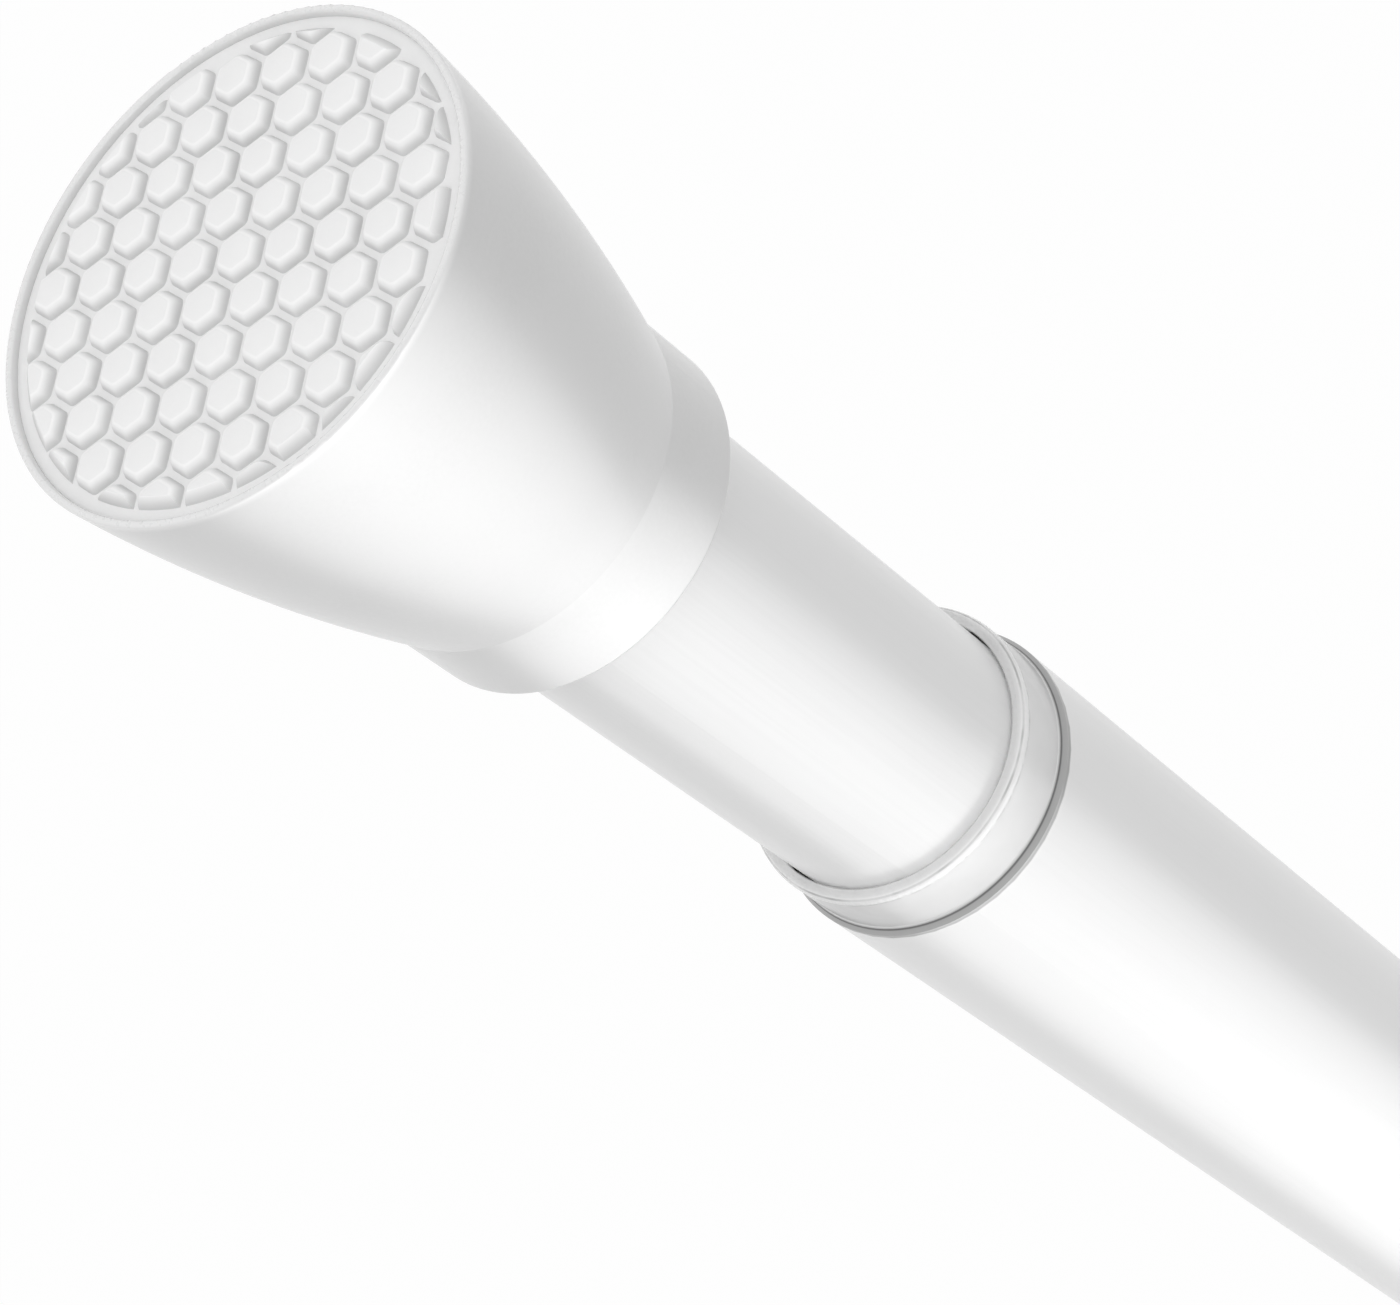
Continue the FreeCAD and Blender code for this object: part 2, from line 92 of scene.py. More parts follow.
class Wire:
    """One output of a node tree. Arithmetic on it adds the Math nodes that work it out."""

    def __init__(self, tree, socket=None):
        self.tree = tree
        self.socket = socket

    def node(self, kind, settings={}, inputs={}, output=0):
        """A new node in the same tree: its settings first, then its inputs' values or wires."""
        made = self.tree.nodes.new(kind)
        for name, value in settings.items():
            if name == "stops":
                elements = made.color_ramp.elements
                while len(elements) < len(value):
                    elements.new(1)
                for element, (place, level) in zip(elements, value):
                    element.position = place
                    element.color = (level, level, level, 1)
            else:
                setattr(made, name, value)
        for name, value in inputs.items():
            join(value, made.inputs[name])
        return None if output is None else Wire(self.tree, made.outputs[output])

    def math(self, operation, *values):
        return self.node("ShaderNodeMath", {"operation": operation}, dict(enumerate(values)))

    def __add__(self, other):
        return self.math("ADD", self, other)

    def __radd__(self, other):
        return self.math("ADD", other, self)

    def __sub__(self, other):
        return self.math("SUBTRACT", self, other)

    def __rsub__(self, other):
        return self.math("SUBTRACT", other, self)

    def __mul__(self, other):
        return self.math("MULTIPLY", self, other)

    def __rmul__(self, other):
        return self.math("MULTIPLY", other, self)

    def __truediv__(self, other):
        return self.math("DIVIDE", self, other)


def join(value, socket):
    """Gives an input its value, or links a wire to it."""
    if isinstance(value, Wire):
        value.tree.links.new(value.socket, socket)
    else:
        socket.default_value = value


class Finish:
    """A material with one Principled shader, its even values set on the shader's own sockets."""

    def __init__(self, name, **even):
        self.material = bpy.data.materials.new(name)
        self.material.use_nodes = True
        self.tree = self.material.node_tree
        self.shader = self.tree.nodes["Principled BSDF"]
        for socket, value in even.items():
            self.shader.inputs[socket.replace("_", " ")].default_value = value
        self.place = Wire(self.tree).node("ShaderNodeTexCoord", output="Object")

    def along(self):
        """Distance along the rod, in metres."""
        return self.place.node("ShaderNodeSeparateXYZ", inputs={0: self.place}, output="X")

    def from_wall(self):
        """Distance along the rod from the nearer wall, in metres."""
        along = self.along()
        return along.math("MINIMUM", along, rod_length - along)

    def off_axis(self):
        """Distance from the rod's axis, in metres."""
        across = self.place.node(
            "ShaderNodeVectorMath", {"operation": "MULTIPLY"}, {0: self.place, 1: (0, 1, 1)}
        )
        return self.place.node(
            "ShaderNodeVectorMath", {"operation": "LENGTH"}, {0: across}, "Value"
        )

    def grain(self, size, detail=2.0, stretch=1.0):
        """Soft random spots of this size, drawn out along the rod by the stretch."""
        laid = self.place.node(
            "ShaderNodeMapping",
            inputs={"Vector": self.place, "Scale": (1 / (size * stretch), 1 / size, 1 / size)},
        )
        return self.place.node(
            "ShaderNodeTexNoise", inputs={"Vector": laid, "Scale": 1.0, "Detail": detail}
        )

    def between(self, share, first, second):
        """A colour that goes from the first to the second with the share."""
        return share.node(
            "ShaderNodeMix", {"data_type": "RGBA"}, {0: share, 6: first, 7: second}, 2
        )

    def step(self, value, start, end):
        """0 below the start and 1 above the end, with a soft step between."""
        return value.node(
            "ShaderNodeMapRange",
            {"interpolation_type": "SMOOTHSTEP"},
            {"Value": value, "From Min": start, "From Max": end},
        )

    def bumped(self, height, depth):
        """A surface normal that follows the height, from 0 to 1, over this depth in metres."""
        return height.node(
            "ShaderNodeBump", inputs={"Height": height, "Distance": depth}, output="Normal"
        )

    def feed(self, **wires):
        """Joins these wires to the shader's inputs and hands over the material."""
        for socket, wire in wires.items():
            join(wire, self.shader.inputs[socket.replace("_", " ")])
        return self.material


def dress(material, *nodes):
    """Gives CAD nodes that keep their own shape a material."""
    for node in nodes:
        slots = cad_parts[node].data.materials
        slots.clear()
        slots.append(material)


enamel = Finish("white_enamel", IOR=1.5, Coat_Roughness=0.2)
peel = enamel.grain(enamel_peel)
rubbed = enamel.grain(enamel_rub, 3.0, enamel_rub_length / enamel_rub)
mottle = enamel.grain(enamel_mottle)
wide = enamel.step(
    enamel.off_axis(), narrow_tube_r + tube_gap_from, narrow_tube_r + tube_gap_full
)
# The wide tube's colour turns grey at its very end, fading out within 0.4 mm of it.
from_mouth = enamel.along() - wide_tube_mouth
mouth_grey = wide * (1 - enamel.step(from_mouth, enamel_mouth_grey_start, enamel_mouth_grey_end))
shaded = enamel.step(rubbed * 0.6 + mottle * 0.4, *enamel_shade_step)
enamel_material = enamel.feed(
    Base_Color=enamel.between(
        mouth_grey, enamel.between(shaded, enamel_white, enamel_shade), enamel_mouth_grey
    ),
    Roughness=enamel_roughness + rubbed * enamel_rubbed_rougher,
    Coat_Weight=enamel_gloss - rubbed * enamel_rubbed_duller,
    Normal=enamel.bumped(peel * 0.8 + rubbed * 0.2, enamel_relief),
)
dress(enamel_material, "inner_tube", "outer_tube")

# End caps. One white moulding at each end, flared to the wall, with a thin rounded rim, a waist
# and a straight neck that grips the tube. The mould was finely blasted, so the cap is duller than
# the tube. Handling has polished its rim smoother and glossier, the rim's colour is painted
# lighter as a painted highlight, and a shallow bump softens the shading at the front waist.
cap_white = (0.615, 0.615, 0.615, 1)
cap_shade = (0.59, 0.59, 0.59, 1)
# Colour of the painted highlight on the rim.
cap_painted_highlight = (0.82, 0.82, 0.82, 1)
cap_blast = 0.32 * mm
cap_blast_depth = 0.003 * mm
cap_flow = 9 * mm
cap_shade_step = (0.4, 0.75)
cap_roughness = 0.34
cap_blast_rougher = 0.12
cap_handled_smoother = 0.12
cap_gloss = 0.8
cap_handled_gloss = 0.2
cap_rim_crest = 0.05 * mm
cap_rim_edge = 0.90 * mm
cap_waist = 28.9 * mm
cap_waist_reach = 5.0 * mm
cap_waist_fall = 0.275

moulded = Finish("white_moulding", IOR=1.6, Coat_IOR=1.6, Coat_Roughness=0.24)
blast = moulded.grain(cap_blast, 3.0)
flow = moulded.grain(cap_flow)
# Rim mask: a painted highlight in the colour, and real polish in the roughness and coat.
polished_and_highlit_rim = 1 - moulded.step(moulded.from_wall(), cap_rim_crest, cap_rim_edge)
from_waist = moulded.along() - cap_waist
waist = from_waist.math("ABSOLUTE", from_waist) / cap_waist_reach
waist = 1 - waist.math("MINIMUM", waist, 1)
waist_depth = cap_waist_reach * cap_waist_fall / 4
shaded = moulded.step(flow * 0.7 + blast * 0.3, *cap_shade_step)
moulded_material = moulded.feed(
    Base_Color=moulded.between(
        polished_and_highlit_rim, moulded.between(shaded, cap_white, cap_shade), cap_painted_highlight
    ),
    Roughness=cap_roughness + blast * cap_blast_rougher - polished_and_highlit_rim * cap_handled_smoother,
    Coat_Weight=cap_gloss + polished_and_highlit_rim * cap_handled_gloss,
    Normal=moulded.bumped(waist * waist + blast * (cap_blast_depth / waist_depth), waist_depth),
)
dress(moulded_material, "front_end_cap", "rear_end_cap")

# Grip pads. A soft white rubber disc pressed into each cap's mouth, with hexagonal islands in a
# honeycomb, cut off by a round edge. The islands are level with the cap's rim and have drafted
# sides and soft edges, as they come from the mould.
pad_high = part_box("front_grip_pad")[1]
island_height = 0.75 * mm
island_width = 2.78 * mm
island_draft = 0.32 * mm
island_edge = 0.32 * mm
island_corner = 0.45 * mm
island_sink = 0.15 * mm
island_pitch = 3.86 * mm
pattern_turn = math.radians(30)
pattern_shift = (0, 0.70 * mm, -0.17 * mm)
field_r = 16.3 * mm
field_chamfer = 0.30 * mm
field_margin = 0.38
lattice_reach = 9
pad_facets = 144
pad_sharp = 25
pad_grip = 0.045 * mm
rubber_white = (0.98, 0.98, 0.98, 1)
# Painted light on the pads, by depth below the island tops: a little painted shade on the tops, none
# on their edges, which reads as a painted highlight, then painted shade rising down their sides to
# their feet and easing on the floor.
rubber_painted_shade = (0.58, 0.58, 0.58, 1)
painted_light_by_depth = [
    (0.0, 0.15), (0.01, 0.15), (0.03, 0.0), (0.06, 0.02), (0.12, 0.16),
    (0.30, 0.38), (0.60, 0.76), (0.88, 1.0), (0.97, 0.9), (0.995, 0.25),
]
painted_shade_least = 0.6
painted_shade_cloudy = 0.5
painted_shade_cloud = 6 * mm
rubber_grain = 0.22 * mm
rubber_roughness = 0.52
rubber_grain_rougher = 0.16
rubber_relief = 0.012 * mm


def piece(name, mesh):
    """A new object at the origin that holds this mesh."""
    made = bpy.data.objects.new(name, mesh)
    bpy.context.scene.collection.objects.link(made)
    return made


def skin(name, rings):
    """A mesh through rings of points with equal counts, its two ends filled."""
    around = len(rings[0])
    points = [point for ring in rings for point in ring]
    faces = []
    for ring in range(len(rings) - 1):
        here = ring * around
        there = here + around
        for first in range(around):
            second = (first + 1) % around
            faces.append((here + first, here + second, there + second, there + first))
    faces.append(tuple(range(around)))
    faces.append(tuple(range(len(points) - 1, len(points) - 1 - around, -1)))
    mesh = bpy.data.meshes.new(name)
    mesh.from_pydata(points, [], faces)
    outward(mesh)
    return mesh


def outward(mesh):
    """Merges doubled points and points every face outwards."""
    work = bmesh.new()
    work.from_mesh(mesh)
    bmesh.ops.remove_doubles(work, verts=work.verts, dist=1e-7)
    bmesh.ops.recalc_face_normals(work, faces=work.faces)
    work.to_mesh(mesh)
    work.free()


def hexagon_ring(depth, half_width):
    """A hexagon with round corners across the rod, its flats facing its six neighbours."""
    ring = []
    for corner in range(6):
        towards = pattern_turn + math.radians(30 + 60 * corner)
        centre = (half_width - island_corner) / math.cos(math.radians(30))
        for turn in (-30, -10, 10, 30):
            angle = towards + math.radians(turn)
            ring.append((
                depth,
                centre * math.cos(towards) + island_corner * math.cos(angle),
                centre * math.sin(towards) + island_corner * math.sin(angle),
            ))
    return ring


def island_block():
    """One island: drafted sides up from inside the pad's floor, and a round edge to its top."""
    half = island_width / 2
    slope = island_draft / island_height
    foot = island_height + island_sink
    rings = [hexagon_ring(foot, half + slope * foot)]
    for turn in (0, 30, 60, 90):
        angle = math.radians(turn)
        depth = island_edge * (1 - math.sin(angle))
        inset = island_edge * (1 - math.cos(angle))
        rings.append(hexagon_ring(depth, half + slope * depth - inset))
    return skin("island", rings)


def node_tree(name, inputs):
    """A geometry tree with these named inputs, and the wires of its inputs by name."""
    tree = bpy.data.node_groups.new(name, "GeometryNodeTree")
    tree.interface.new_socket("Geometry", in_out="INPUT", socket_type="NodeSocketGeometry")
    for title, kind in inputs.items():
        tree.interface.new_socket(title, in_out="INPUT", socket_type="NodeSocket" + kind)
    tree.interface.new_socket("Geometry", in_out="OUTPUT", socket_type="NodeSocketGeometry")
    entry = tree.nodes.new("NodeGroupInput")
    return tree, {socket.name: Wire(tree, socket) for socket in entry.outputs if socket.name}


def close_tree(tree, geometry, material):
    """Realizes the instances, sets the material and ends the tree."""
    real = geometry.node("GeometryNodeRealizeInstances", inputs={0: geometry})
    painted = real.node("GeometryNodeSetMaterial", inputs={"Geometry": real, "Material": material})
    tree.links.new(painted.socket, tree.nodes.new("NodeGroupOutput").inputs[0])


def grown(obj, tree, values):
    """Runs a geometry tree on an object with these inputs and keeps the result as its mesh."""
    modifier = obj.modifiers.new(tree.name, "NODES")
    modifier.node_group = tree
    for item in tree.interface.items_tree:
        if item.in_out == "INPUT" and item.name in values:
            modifier[item.identifier] = values[item.name]
    graph = bpy.context.evaluated_depsgraph_get()
    mesh = bpy.data.meshes.new_from_object(obj.evaluated_get(graph), depsgraph=graph)
    obj.modifiers.remove(modifier)
    obj.data = mesh
    return obj


def soften(mesh, degrees):
    """Smooth shading, broken only at edges sharper than this."""
    mesh.polygons.foreach_set("use_smooth", [True] * len(mesh.polygons))
    mesh.set_sharp_from_angle(angle=math.radians(degrees))


def honeycomb_tree():
    """Islands on a honeycomb lattice, trimmed by a round drafted and chamfered edge, on a disc."""
    tree, given = node_tree("honeycomb_pad", {
        "Pitch": "Float", "Turn": "Float", "Shift": "Vector", "Field Radius": "Float",
        "Field Draft": "Float", "Field Chamfer": "Float", "Island Height": "Float",
        "Disc Radius": "Float", "Disc Thickness": "Float", "Reach": "Int", "Material": "Material",
    })
    start = Wire(tree)
    across = given["Reach"] * 2 + 1
    grid = start.node(
        "GeometryNodeMeshGrid", inputs={"Vertices X": across, "Vertices Y": across}, output="Mesh"
    )
    index = start.node("GeometryNodeInputIndex")
    row = index.math("MODULO", index, across)
    column = (index - row) / across
    row = row - given["Reach"]
    column = column - given["Reach"]
    second_turn = given["Turn"] + math.radians(60)
    y = column * start.math("COSINE", given["Turn"]) + row * start.math("COSINE", second_turn)
    z = column * start.math("SINE", given["Turn"]) + row * start.math("SINE", second_turn)
    spot = start.node(
        "ShaderNodeCombineXYZ", inputs={"Y": y * given["Pitch"], "Z": z * given["Pitch"]}
    )
    spot = spot.node("ShaderNodeVectorMath", {"operation": "ADD"}, {0: spot, 1: given["Shift"]})
    lattice = grid.node("GeometryNodeSetPosition", inputs={"Geometry": grid, "Position": spot})
    place = start.node("GeometryNodeInputPosition")
    distance = start.node("ShaderNodeVectorMath", {"operation": "LENGTH"}, {0: place}, "Value")
    limit = given["Field Radius"] + given["Pitch"] * field_margin
    outside = distance.math("GREATER_THAN", distance, limit)
    kept = start.node(
        "GeometryNodeDeleteGeometry", {"domain": "POINT"},
        {"Geometry": lattice, "Selection": outside},
    )
    islands = start.node(
        "GeometryNodeInstanceOnPoints", inputs={"Points": kept, "Instance": given["Geometry"]}
    )
    islands = start.node("GeometryNodeRealizeInstances", inputs={0: islands})
    depth = given["Island Height"] * 2
    slope = given["Field Draft"] / given["Island Height"]
    upright = (0, math.radians(90), 0)
    drafted = start.node(
        "GeometryNodeMeshCone", {"fill_type": "NGON"},
        {"Vertices": pad_facets,
         "Radius Top": given["Field Radius"] + slope * depth,
         "Radius Bottom": given["Field Radius"] - slope * depth,
         "Depth": depth * 2},
        "Mesh",
    )
    trimmer = start.node(
        "GeometryNodeTransform", inputs={
            "Geometry": drafted, "Rotation": upright,
            "Translation": start.node("ShaderNodeCombineXYZ", inputs={"X": 0 - depth}),
        })
    chamfer_r = given["Field Radius"] - given["Field Chamfer"]
    chamfer_depth = given["Island Height"] * 3
    chamfered = start.node(
        "GeometryNodeMeshCone", {"fill_type": "NGON"},
        {"Vertices": pad_facets,
         "Radius Top": chamfer_r + chamfer_depth,
         "Radius Bottom": chamfer_r - chamfer_depth,
         "Depth": chamfer_depth * 2},
        "Mesh",
    )
    bevel = start.node(
        "GeometryNodeTransform", inputs={
            "Geometry": chamfered, "Rotation": upright,
            "Translation": start.node("ShaderNodeCombineXYZ", inputs={"X": 0 - chamfer_depth}),
        })
    trimmed = start.node(
        "GeometryNodeMeshBoolean", {"operation": "INTERSECT", "solver": "MANIFOLD"}, {}, "Mesh"
    )
    for shape in (islands, trimmer, bevel):
        tree.links.new(shape.socket, trimmed.socket.node.inputs["Mesh 2"])
    disc = start.node(
        "GeometryNodeMeshCylinder", {"fill_type": "NGON"},
        {"Vertices": pad_facets, "Radius": given["Disc Radius"],
         "Depth": given["Disc Thickness"]},
        "Mesh",
    )
    disc = start.node(
        "GeometryNodeTransform", inputs={
            "Geometry": disc, "Rotation": upright,
            "Translation": start.node("ShaderNodeCombineXYZ", inputs={
                "X": given["Island Height"] + given["Disc Thickness"] / 2,
            }),
        })
    whole = start.node(
        "GeometryNodeMeshBoolean", {"operation": "UNION", "solver": "MANIFOLD"}, {}, "Mesh"
    )
    for shape in (trimmed, disc):
        tree.links.new(shape.socket, whole.socket.node.inputs["Mesh 2"])
    close_tree(tree, whole, given["Material"])
    return tree


def turned_over(mesh):
    """The same mesh turned end for end, at the far end of the rod."""
    other = mesh.copy()
    middle = (cad_low.x + cad_high.x) / 2
    other.transform(Matrix.Translation((2 * middle, 0, 0)) @ Matrix.Rotation(math.pi, 4, "Z"))
    return other


rubber = Finish("soft_rubber", IOR=1.45, Sheen_Weight=0.08, Sheen_Roughness=0.5)
grit = rubber.grain(rubber_grain, 4.0)
# The rubber's colour carries painted light: lighter top edges as a painted highlight and darker
# sides as painted shade, uneven in soft clouds.
shade_cloud = rubber.grain(painted_shade_cloud)
groove_painted_light = rubber.place.node(
    "ShaderNodeValToRGB", {"stops": painted_light_by_depth}, {"Fac": rubber.from_wall() / island_height}
)
rubber_material = rubber.feed(
    Base_Color=rubber.between(
        groove_painted_light * (painted_shade_least + shade_cloud * painted_shade_cloudy), rubber_white, rubber_painted_shade
    ),
    Roughness=rubber_roughness + grit * rubber_grain_rougher,
    Normal=rubber.bumped(grit, rubber_relief),
)
front_pad = grown(piece("honeycomb_pad_front", island_block()), honeycomb_tree(), {
    "Pitch": island_pitch, "Turn": pattern_turn, "Shift": pattern_shift,
    "Field Radius": field_r, "Field Draft": island_draft, "Field Chamfer": field_chamfer,
    "Island Height": island_height, "Disc Radius": pad_high.y + pad_grip,
    "Disc Thickness": pad_high.x - island_height, "Reach": lattice_reach,
    "Material": rubber_material,
})
soften(front_pad.data, pad_sharp)
rear_pad = piece("honeycomb_pad_rear", turned_over(front_pad.data))
for pad, node, body in (
    (front_pad, "front_grip_pad", "fixed_half"),
    (rear_pad, "rear_grip_pad", "sliding_half"),
):
    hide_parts(node)
    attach(pad, body)

# Clear collar. A clear, slightly milky bush with a rounded lip, pressed into the wide tube's mouth,
# where its bevelled bead stops against the tube's end. The lip is scuffed by the narrow tube and
# carries a fine uneven dark line of painted shade. The lip's front face is greyer, the bead is
# grey, and a thin dark line of painted shadow runs along the bead's front edge.
collar_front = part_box("clear_collar")[0].x
collar_reach = wide_tube_mouth - collar_front
# Tones along the collar, from its front: a greyer front face, a near-white band, a thin dark line of
# painted shadow at the bead's front edge, then the grey bead.
collar_tones_and_painted_shadow = [
    (0.0, 0.78), (0.006, 0.78), (0.020, 0.96), (0.868, 0.96), (0.886, 0.45), (0.894, 0.10),
    (0.904, 0.10), (0.916, 0.36), (1.0, 0.40),
]
collar_cover = [
    (0.0, 0.90), (0.006, 0.90), (0.020, 0.85), (0.120, 0.85), (0.160, 0.75), (0.865, 0.75),
    (0.888, 0.95), (0.892, 1.0), (1.0, 1.0),
]
collar_lip_share = 0.13
collar_bead_step = (0.88, 0.89)
collar_painted_line_rise = (0.018, 0.030)
collar_painted_line_fall = (0.036, 0.052)
collar_painted_line_least = 0.2
collar_painted_line_gain = 0.35
collar_painted_line_tone = (0.10, 0.10, 0.10, 1)
collar_milk = (0.6, 0.6, 0.6, 1)
collar_milk_most = 0.06
collar_swirl = 2.5 * mm
collar_roughness = 0.16
collar_gloss = 0.25
collar_lip_gloss = 0.55
collar_scuff = 0.5 * mm
collar_scuff_depth = 0.11 * mm
bore_gap_from = 0.12 * mm
bore_gap_full = 0.30 * mm

clear = Finish("clear_moulding", IOR=1.49, Coat_Roughness=0.16)
share = (clear.along() - collar_front) / collar_reach
off_bore = clear.step(
    clear.off_axis(), narrow_tube_r + bore_gap_from, narrow_tube_r + bore_gap_full
)
swirl = clear.grain(collar_swirl)
lip = 1 - clear.step(share, collar_lip_share * 0.8, collar_lip_share * 1.2)
crinkle = clear.grain(collar_scuff, 3.0)
# A thin dark line of painted shade along the lip, broken up by the swirl.
painted_line = clear.step(share, *collar_painted_line_rise) * (1 - clear.step(share, *collar_painted_line_fall))
painted_line = painted_line * (collar_painted_line_least + clear.step(swirl, 0.35, 0.65) * collar_painted_line_gain)
tone_and_painted_shadow = clear.place.node("ShaderNodeValToRGB", {"stops": collar_tones_and_painted_shadow}, {"Fac": share})
cover = clear.place.node("ShaderNodeValToRGB", {"stops": collar_cover}, {"Fac": share})
clear_material = clear.feed(
    Base_Color=clear.between(
        painted_line, clear.between(swirl * collar_milk_most, tone_and_painted_shadow, collar_milk), collar_painted_line_tone
    ),
    Roughness=collar_roughness + swirl * 0.08,
    Coat_Weight=collar_gloss + swirl * 0.2 + lip * collar_lip_gloss,
    Alpha=cover * (0.94 + swirl * 0.12) * off_bore,
    Normal=clear.bumped(swirl * 0.1 + lip * crinkle, collar_scuff_depth),
)
shadow_ray = clear.place.node("ShaderNodeLightPath", output="Is Shadow Ray")
see_through = clear.place.node("ShaderNodeBsdfTransparent")
surface = clear.place.node("ShaderNodeMixShader", inputs={
    0: shadow_ray * (1 - clear.step(share, *collar_bead_step)),
    1: Wire(clear.tree, clear.shader.outputs[0]),
    2: see_through,
})
join(surface, clear.tree.nodes["Material Output"].inputs["Surface"])
dress(clear_material, "clear_collar")

# Plugs and bushes. Natural white mouldings pressed into the tubes and held by the dimples: the
# tube plugs that take the cap screws, the spring stop, the stem bush and the centring bush.
natural_white = (0.62, 0.61, 0.58, 1)
natural_shade = (0.54, 0.53, 0.50, 1)
natural_mottle = 4 * mm
natural_grain = 0.4 * mm
natural_roughness = 0.42
natural_relief = 0.015 * mm

natural = Finish("natural_moulding", IOR=1.53)
milky = natural.grain(natural_mottle, 3.0)
skin_grain = natural.grain(natural_grain)
natural_material = natural.feed(
    Base_Color=natural.between(natural.step(milky, 0.35, 0.7), natural_white, natural_shade),
    Roughness=natural_roughness + skin_grain * 0.2,
    Normal=natural.bumped(skin_grain, natural_relief),
)
dress(
    natural_material,
    "front_tube_plug", "rear_tube_plug", "spring_stop", "stem_bush", "centring_bush",
)

# Lock. The plunger and the cam ring are dark mouldings filled with chopped glass, which shows as
# fine pale flecks, and the friction ring is a black rubber ring in the centring bush's groove.
dark_body = (0.016, 0.016, 0.018, 1)
dark_fleck = (0.07, 0.07, 0.075, 1)
dark_fibre = 0.25 * mm
dark_haze = 5 * mm
dark_roughness = 0.42
dark_relief = 0.014 * mm
ring_black = (0.012, 0.012, 0.012, 1)
ring_worn = (0.03, 0.03, 0.03, 1)
ring_speck = 0.3 * mm
ring_roughness = 0.5
ring_relief = 0.01 * mm

dark = Finish("glass_filled_moulding", IOR=1.5)
fibre = dark.grain(dark_fibre, 5.0, 3.0)
haze = dark.grain(dark_haze)
dark_material = dark.feed(
    Base_Color=dark.between(dark.step(fibre, 0.58, 0.72), dark_body, dark_fleck),
    Roughness=dark_roughness + haze * 0.2,
    Normal=dark.bumped(fibre, dark_relief),
)
dress(dark_material, "lock_plunger", "cam_ring")

ring_rubber = Finish("black_rubber", IOR=1.5)
ring_grain = ring_rubber.grain(ring_speck, 3.0)
ring_material = ring_rubber.feed(
    Base_Color=ring_rubber.between(ring_grain, ring_black, ring_worn),
    Roughness=ring_roughness + ring_grain * 0.2,
    Normal=ring_rubber.bumped(ring_grain, ring_relief),
)
dress(ring_material, "friction_ring")

# Steel fixings. Zinc-plated washers and screws. The plating is bright with a soft cloudiness and
# fine scratches.
zinc_bright = (0.60, 0.60, 0.61, 1)
zinc_cloud = (0.48, 0.48, 0.49, 1)
zinc_spangle = 1.2 * mm
zinc_scratch = 0.12 * mm
zinc_roughness = 0.24
zinc_relief = 0.004 * mm

zinc = Finish("zinc_plate", Metallic=1.0)
spangle = zinc.grain(zinc_spangle, 3.0)
scratch = zinc.grain(zinc_scratch, 2.0, 12.0)
zinc_material = zinc.feed(
    Base_Color=zinc.between(zinc.step(spangle, 0.35, 0.7), zinc_bright, zinc_cloud),
    Roughness=zinc_roughness + spangle * 0.12 + scratch * 0.08,
    Normal=zinc.bumped(scratch, zinc_relief),
)
dress(
    zinc_material,
    "front_spring_washer", "rear_spring_washer", "cam_washer", "cam_screw",
    "front_cap_screw", "rear_cap_screw",
)

# Spring. Round steel wire wound cold into open coils between two closed coils, its ends ground
# flat. It sits in the narrow tube between two washers and shortens as the plunger is pushed in.
spring_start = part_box("front_spring_washer")[1].x
spring_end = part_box("rear_spring_washer")[0].x
spring_length = spring_end - spring_start
spring_coil_r = 8.7 * mm
spring_wire_r = 0.9 * mm
spring_coils = 13.0
spring_end_pitch = 1.85 * mm
spring_steps = 48
spring_wire_sides = 14
spring_sharp = 60
spring_bright = (0.56, 0.55, 0.54, 1)
spring_dull = (0.42, 0.42, 0.42, 1)
spring_drawn = 0.5 * mm
spring_roughness = 0.28
spring_relief = 0.004 * mm


def spring_tree():
    """Wire swept along a helix that closes up at both ends, with flat ground ends."""
    tree, given = node_tree("wound_spring", {
        "Start": "Float", "Length": "Float", "Coil Radius": "Float", "Wire Radius": "Float",
        "Open Coils": "Float", "End Pitch": "Float", "Steps": "Int", "Material": "Material",
    })
    start = Wire(tree)
    turns = given["Open Coils"] + 2
    points = start.node(
        "GeometryNodeMeshLine",
        inputs={"Count": given["Steps"] * turns + 1, "Offset": (1 * mm, 0, 0)},
    )
    turn = start.node("GeometryNodeInputIndex") / given["Steps"]
    open_pitch = (given["Length"] - given["End Pitch"] * 2) / given["Open Coils"]
    opened = turn.math("MAXIMUM", turn - 1, 0)
    opened = turn.math("MINIMUM", opened, given["Open Coils"])
    x = open_pitch * opened + given["End Pitch"] * (turn - opened)
    angle = turn * (2 * math.pi)
    spot = start.node("ShaderNodeCombineXYZ", inputs={
        "X": given["Start"] + x,
        "Y": given["Coil Radius"] * start.math("SINE", angle),
        "Z": 0 - given["Coil Radius"] * start.math("COSINE", angle),
    })
    helix = start.node("GeometryNodeSetPosition", inputs={"Geometry": points, "Position": spot})
    path = start.node("GeometryNodeMeshToCurve", inputs={"Mesh": helix})
    section = start.node(
        "GeometryNodeCurvePrimitiveCircle",
        inputs={"Resolution": spring_wire_sides, "Radius": given["Wire Radius"]}, output="Curve",
    )
    wire = start.node(
        "GeometryNodeCurveToMesh",
        inputs={"Curve": path, "Profile Curve": section, "Fill Caps": True},
    )
    place = start.node("GeometryNodeInputPosition")
    here = start.node("ShaderNodeSeparateXYZ", inputs={0: place}, output="X")
    ground = here.math("MINIMUM", here, given["Start"] + given["Length"])
    ground = here.math("MAXIMUM", ground, given["Start"])
    move = start.node("ShaderNodeCombineXYZ", inputs={"X": ground - here})
    wire = start.node("GeometryNodeSetPosition", inputs={"Geometry": wire, "Offset": move})
    close_tree(tree, wire, given["Material"])
    return tree


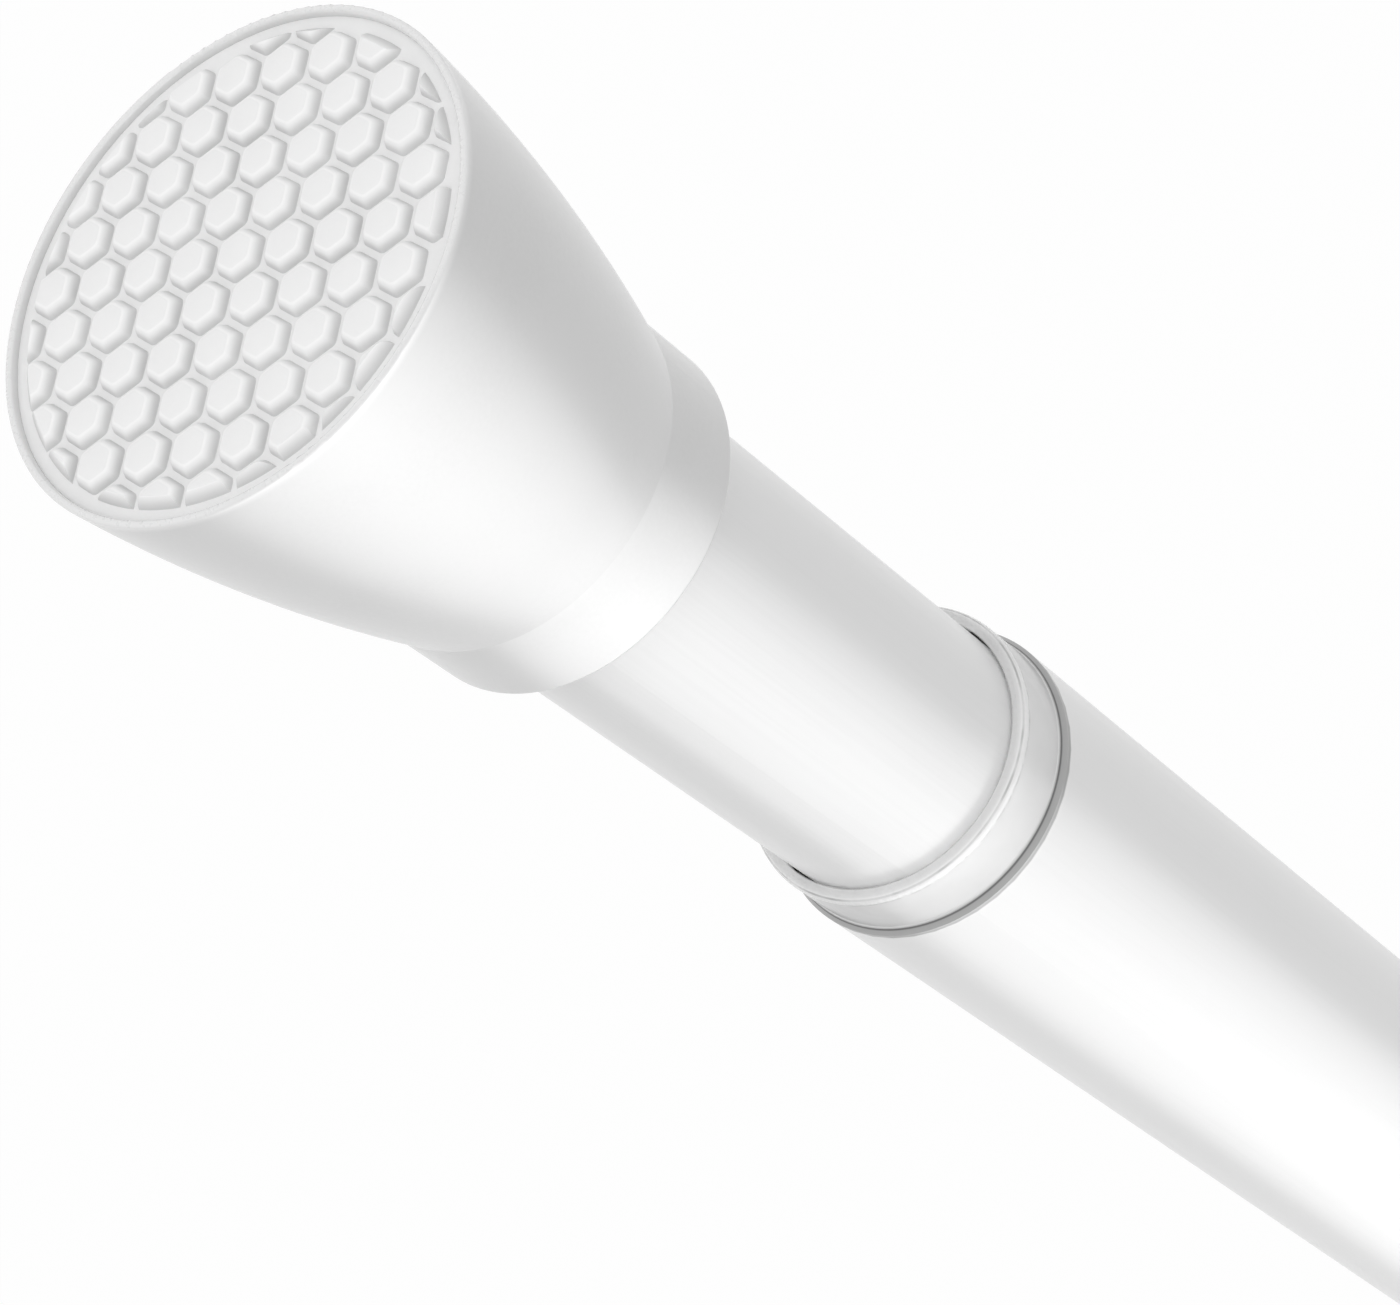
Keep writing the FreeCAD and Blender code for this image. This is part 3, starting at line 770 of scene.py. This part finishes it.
drawn = Finish("spring_wire", Metallic=1.0)
drawn_grain = drawn.grain(spring_drawn, 4.0)
drawn_material = drawn.feed(
    Base_Color=drawn.between(drawn_grain, spring_dull, spring_bright),
    Roughness=spring_roughness + drawn_grain * 0.16,
    Normal=drawn.bumped(drawn_grain, spring_relief),
)
spring = grown(piece("coil_spring", bpy.data.meshes.new("coil_spring")), spring_tree(), {
    "Start": spring_start, "Length": spring_length, "Coil Radius": spring_coil_r,
    "Wire Radius": spring_wire_r, "Open Coils": spring_coils, "End Pitch": spring_end_pitch,
    "Steps": spring_steps, "Material": drawn_material,
})
soften(spring.data, spring_sharp)
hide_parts("compression_spring")
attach(spring, "fixed_half")
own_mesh(spring)

# Studio. The rod hangs between two walls, so the pale floor is well below it, and clear when seen
# from below. The surround is white, brighter on the side that the front pad faces, and a wide
# overhead softbox, strongest straight ahead of it, is mirrored in the gloss of the enamel.
floor_drop = 0.30
floor_reach = 6.0
floor_pale = (0.86, 0.86, 0.86, 1)
floor_glow = 0.97
surround_level = 0.66
surround_lean = (-0.45, 0.09, 0)
surround_front = 0.9
softbox_towards = Vector((0.55, 0.045, 0.83))
softbox_distance = 3.0
softbox_size = (10.0, 7.0)
softbox_spread = math.radians(120)
softbox_level = 1.88
camera_place = Vector((-0.14757, 0.08042, 0.17292))
camera_looks = Vector((0.72732, -0.29656, -0.61891))
camera_up = Vector((-0.40688, 0.53990, -0.73685))
camera_lens = 100.67
camera_near = 0.01
camera_far = 50
plain_white = (1, 1, 1, 1)

floor_z = cad_low.z - floor_drop
corners = [
    (x * floor_reach, y * floor_reach, floor_z) for x, y in ((-1, -1), (1, -1), (1, 1), (-1, 1))
]
floor_mesh = bpy.data.meshes.new("floor")
floor_mesh.from_pydata(corners, [], [(0, 1, 2, 3)])
floor = piece("floor", floor_mesh)


def seen(start):
    """1 for rays from the camera and for those mirrored or bent by the object."""
    camera, mirrored, bent = (
        start.node("ShaderNodeLightPath", output=name)
        for name in ("Is Camera Ray", "Is Glossy Ray", "Is Transmission Ray")
    )
    return camera.math("MAXIMUM", camera, camera.math("MAXIMUM", mirrored, bent))


floor_material = bpy.data.materials.new("pale_floor")
floor_material.use_nodes = True
floor_material.node_tree.nodes.clear()
start = Wire(floor_material.node_tree)
matt = start.node("ShaderNodeBsdfDiffuse", inputs={"Color": floor_pale})
glow = start.node("ShaderNodeEmission", inputs={"Color": plain_white, "Strength": 1.0})
surface = start.node("ShaderNodeMixShader", inputs={0: seen(start) * floor_glow, 1: matt, 2: glow})
underside = start.node("ShaderNodeNewGeometry", output="Backfacing")
nothing = start.node("ShaderNodeBsdfTransparent")
surface = start.node("ShaderNodeMixShader", inputs={0: underside, 1: surface, 2: nothing})
start.node("ShaderNodeOutputMaterial", inputs={"Surface": surface}, output=None)
floor_mesh.materials.append(floor_material)

world = bpy.data.worlds.new("white_surround")
bpy.context.scene.world = world
world.use_nodes = True
world.node_tree.nodes.clear()
start = Wire(world.node_tree)
direction = start.node("ShaderNodeTexCoord", output="Generated")
lean = start.node(
    "ShaderNodeVectorMath", {"operation": "DOT_PRODUCT"}, {0: direction, 1: surround_lean}, "Value"
)
ahead = start.node("ShaderNodeSeparateXYZ", inputs={0: direction}, output="X")
ahead = ahead.math("MINIMUM", ahead, 0)
level = surround_level * (1 + lean + surround_front * ahead * ahead)
fill = start.node("ShaderNodeBackground", inputs={"Color": plain_white, "Strength": level})
white = start.node("ShaderNodeBackground", inputs={"Color": plain_white, "Strength": 1.0})
surface = start.node("ShaderNodeMixShader", inputs={0: seen(start), 1: fill, 2: white})
start.node("ShaderNodeOutputWorld", inputs={"Surface": surface}, output=None)

softbox_data = bpy.data.lights.new("overhead_softbox", "AREA")
softbox_data.shape = "RECTANGLE"
softbox_data.size, softbox_data.size_y = softbox_size
softbox_data.spread = softbox_spread
softbox_data.energy = softbox_level * math.pi * softbox_size[0] * softbox_size[1]
softbox = bpy.data.objects.new("overhead_softbox", softbox_data)
bpy.context.scene.collection.objects.link(softbox)
softbox.location = softbox_towards * softbox_distance
softbox.rotation_euler = softbox.location.to_track_quat("Z", "Y").to_euler()
softbox.visible_diffuse = False

camera_data = bpy.data.cameras.new("camera")
camera_data.lens = camera_lens
camera_data.clip_start = camera_near
camera_data.clip_end = camera_far
camera = bpy.data.objects.new("camera", camera_data)
bpy.context.scene.collection.objects.link(camera)
camera_right = camera_looks.cross(camera_up).normalized()
camera_top = camera_right.cross(camera_looks).normalized()
camera_turn = Matrix((camera_right, camera_top, -camera_looks.normalized())).transposed()
camera.matrix_world = Matrix.Translation(camera_place) @ camera_turn.to_4x4()
bpy.context.scene.camera = camera
bpy.context.scene.view_settings.view_transform = "Standard"
